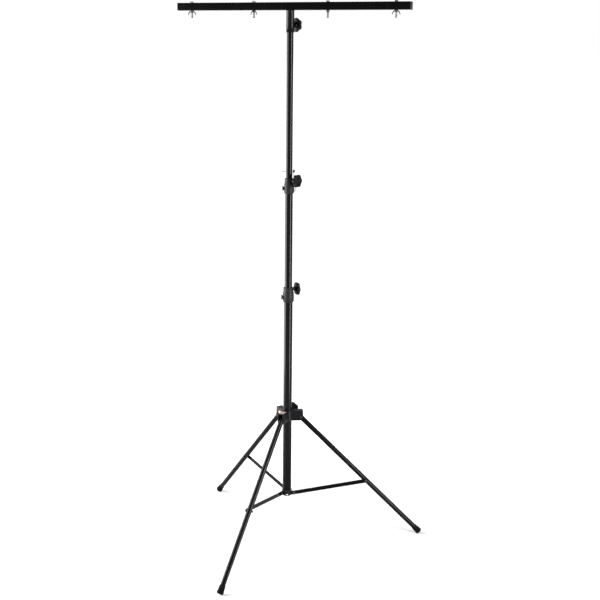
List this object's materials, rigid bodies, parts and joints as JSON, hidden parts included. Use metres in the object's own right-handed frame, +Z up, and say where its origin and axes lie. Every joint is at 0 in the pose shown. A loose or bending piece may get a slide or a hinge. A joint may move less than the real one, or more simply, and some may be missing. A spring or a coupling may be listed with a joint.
{
  "type": "light stand",
  "caption": "Tripod light stand with a sliding leg hub, braces, a telescopic mast and a square crossbar with upright lamp bolts.",
  "frame": {"origin": "middle of the stand's footprint on the floor; the mast axis stands at x -0.0857, y 0.0241 m", "axes": "+Z up along the mast, +X to the right and +Y away from the viewer of the picture"},
  "size_m": [1.2881, 1.2642, 2.7677],
  "materials": {
    "black_steel": "semi-gloss",
    "hub_steel": "satin",
    "collar_plastic": "fine textured",
    "knob_plastic": "satin",
    "cap_plastic": "satin",
    "bush_plastic": "satin",
    "rubber": "matt",
    "zinc_steel": "zinc plated",
    "black_bolt": "black oxide, satin",
    "cord": "braided"
  },
  "bodies": {
    "base": {"main_tube": "black_steel", "base_bracket": "hub_steel", "base_rivet": "zinc_steel", "brace_pin_1": "black_bolt", "brace_pin_2": "black_bolt", "brace_pin_3": "black_bolt", "lower_collar": "collar_plastic", "lower_collar_bolt": "black_bolt"},
    "hub": {"leg_hub": "hub_steel", "leg_pivot_bolt_1": "black_bolt", "leg_pivot_bolt_2": "black_bolt", "leg_pivot_bolt_3": "black_bolt"},
    "leg_1": {"leg_tube_1": "black_steel", "leg_cap_1": "cap_plastic", "foot_1": "rubber", "brace_bolt_1": "black_bolt"},
    "brace_1": {"brace_1": "black_steel", "brace_bolt_head_1": "black_bolt"},
    "leg_2": {"leg_tube_2": "black_steel", "leg_cap_2": "cap_plastic", "foot_2": "rubber", "brace_bolt_2": "black_bolt"},
    "brace_2": {"brace_2": "black_steel", "brace_bolt_head_2": "black_bolt"},
    "leg_3": {"leg_tube_3": "black_steel", "leg_cap_3": "cap_plastic", "foot_3": "rubber", "brace_bolt_3": "black_bolt"},
    "brace_3": {"brace_3": "black_steel", "brace_bolt_head_3": "black_bolt"},
    "middle_mast": {"middle_tube": "black_steel", "middle_tube_bush": "bush_plastic", "upper_collar": "collar_plastic", "upper_collar_bolt": "black_bolt", "pin_lanyard": "cord"},
    "top_mast": {"top_tube": "black_steel", "top_tube_bush": "bush_plastic"},
    "crossbar": {"crossbar": "black_steel", "crossbar_sleeve": "black_steel", "crossbar_cap_left": "cap_plastic", "crossbar_cap_right": "cap_plastic", "lamp_bolt_1": "black_bolt", "lamp_bolt_2": "black_bolt", "lamp_bolt_3": "black_bolt", "lamp_bolt_4": "black_bolt"},
    "wing_nut_1": {"wing_nut_1": "black_bolt"},
    "wing_nut_2": {"wing_nut_2": "black_bolt"},
    "wing_nut_3": {"wing_nut_3": "black_bolt"},
    "wing_nut_4": {"wing_nut_4": "black_bolt"},
    "hub_knob": {"hub_knob": "knob_plastic", "hub_knob_stud": "zinc_steel"},
    "lower_knob": {"lower_knob": "knob_plastic", "lower_knob_stud": "zinc_steel"},
    "upper_knob": {"upper_knob": "knob_plastic", "upper_knob_stud": "zinc_steel"},
    "crossbar_knob": {"crossbar_knob": "knob_plastic", "crossbar_knob_stud": "zinc_steel"},
    "safety_pin": {"safety_pin": "zinc_steel", "pin_handle": "knob_plastic"}
  },
  "joints": [
    {"name": "hub_slide", "type": "slide", "parent": "base", "child": "hub", "axis": [0, 0, 1], "range_m": [0, 0.472]},
    {"name": "leg_1_fold", "type": "hinge", "parent": "hub", "child": "leg_1", "pos_m": [-0.01837, 0.0286, 0.6766], "axis": [-0.0663, 0.9978, 0], "range_deg": [0, 44.27]},
    {"name": "brace_1_fold", "type": "hinge", "parent": "base", "child": "brace_1", "pos_m": [-0.0498, 0.02652, 0.2565], "axis": [0.0663, -0.9978, 0], "range_deg": [0, 76.69]},
    {"name": "leg_2_fold", "type": "hinge", "parent": "hub", "child": "leg_2", "pos_m": [-0.12327, 0.08022, 0.6766], "axis": [-0.831, -0.5563, 0], "range_deg": [0, 44.27]},
    {"name": "brace_2_fold", "type": "hinge", "parent": "base", "child": "brace_2", "pos_m": [-0.10575, 0.05405, 0.2565], "axis": [0.831, 0.5563, 0], "range_deg": [0, 76.69]},
    {"name": "leg_3_fold", "type": "hinge", "parent": "hub", "child": "leg_3", "pos_m": [-0.11552, -0.03644, 0.6766], "axis": [0.8973, -0.4415, 0], "range_deg": [0, 44.27]},
    {"name": "brace_3_fold", "type": "hinge", "parent": "base", "child": "brace_3", "pos_m": [-0.10162, -0.00817, 0.2565], "axis": [-0.8973, 0.4415, 0], "range_deg": [0, 76.69]},
    {"name": "middle_slide", "type": "slide", "parent": "base", "child": "middle_mast", "axis": [0, 0, 1], "range_m": [-0.473, 0.347]},
    {"name": "top_slide", "type": "slide", "parent": "middle_mast", "child": "top_mast", "axis": [0, 0, 1], "range_m": [-0.029, 0.06], "deforming": ["pin_lanyard"]},
    {"name": "crossbar_swivel", "type": "hinge", "parent": "top_mast", "child": "crossbar", "pos_m": [-0.08572, 0.02413, 2.6209], "axis": [0, 0, 1], "continuous": true},
    {"name": "wing_nut_1_spin", "type": "hinge", "parent": "crossbar", "child": "wing_nut_1", "pos_m": [-0.57331, 0.2241, 2.7242], "axis": [0, 0, -1], "continuous": true},
    {"name": "wing_nut_2_spin", "type": "hinge", "parent": "crossbar", "child": "wing_nut_2", "pos_m": [-0.26244, 0.09661, 2.7242], "axis": [0, 0, -1], "continuous": true},
    {"name": "wing_nut_3_spin", "type": "hinge", "parent": "crossbar", "child": "wing_nut_3", "pos_m": [0.09099, -0.04835, 2.7242], "axis": [0, 0, -1], "continuous": true},
    {"name": "wing_nut_4_spin", "type": "hinge", "parent": "crossbar", "child": "wing_nut_4", "pos_m": [0.40186, -0.17584, 2.7242], "axis": [0, 0, -1], "continuous": true},
    {"name": "hub_knob_turn", "type": "hinge", "parent": "hub", "child": "hub_knob", "pos_m": [-0.06475, 0.06675, 0.7036], "axis": [-0.4415, -0.8973, 0], "range_deg": [0, 720]},
    {"name": "lower_knob_turn", "type": "hinge", "parent": "base", "child": "lower_knob", "pos_m": [-0.0551, 0.03588, 1.3574], "axis": [-0.9336, -0.3584, 0], "range_deg": [0, 720]},
    {"name": "upper_knob_turn", "type": "hinge", "parent": "middle_mast", "child": "upper_knob", "pos_m": [-0.05757, 0.00367, 1.9104], "axis": [-0.809, 0.5878, 0], "range_deg": [0, 720]},
    {"name": "crossbar_knob_turn", "type": "hinge", "parent": "crossbar", "child": "crossbar_knob", "pos_m": [-0.06628, 0.04358, 2.6569], "axis": [-0.7071, -0.7071, 0], "range_deg": [0, 720]},
    {"name": "safety_pin_pull", "type": "slide", "parent": "top_mast", "child": "safety_pin", "axis": [0.8988, 0.4384, 0], "range_m": [0, 0.06], "deforming": ["pin_lanyard"]}
  ],
  "couplings": [
    {"joint": "leg_1_fold", "follows": "hub_slide", "rad_per_m": 1.6368},
    {"joint": "brace_1_fold", "follows": "hub_slide", "rad_per_m": 2.8357},
    {"joint": "leg_2_fold", "follows": "hub_slide", "rad_per_m": 1.6368},
    {"joint": "brace_2_fold", "follows": "hub_slide", "rad_per_m": 2.8357},
    {"joint": "leg_3_fold", "follows": "hub_slide", "rad_per_m": 1.6368},
    {"joint": "brace_3_fold", "follows": "hub_slide", "rad_per_m": 2.8357}
  ]
}
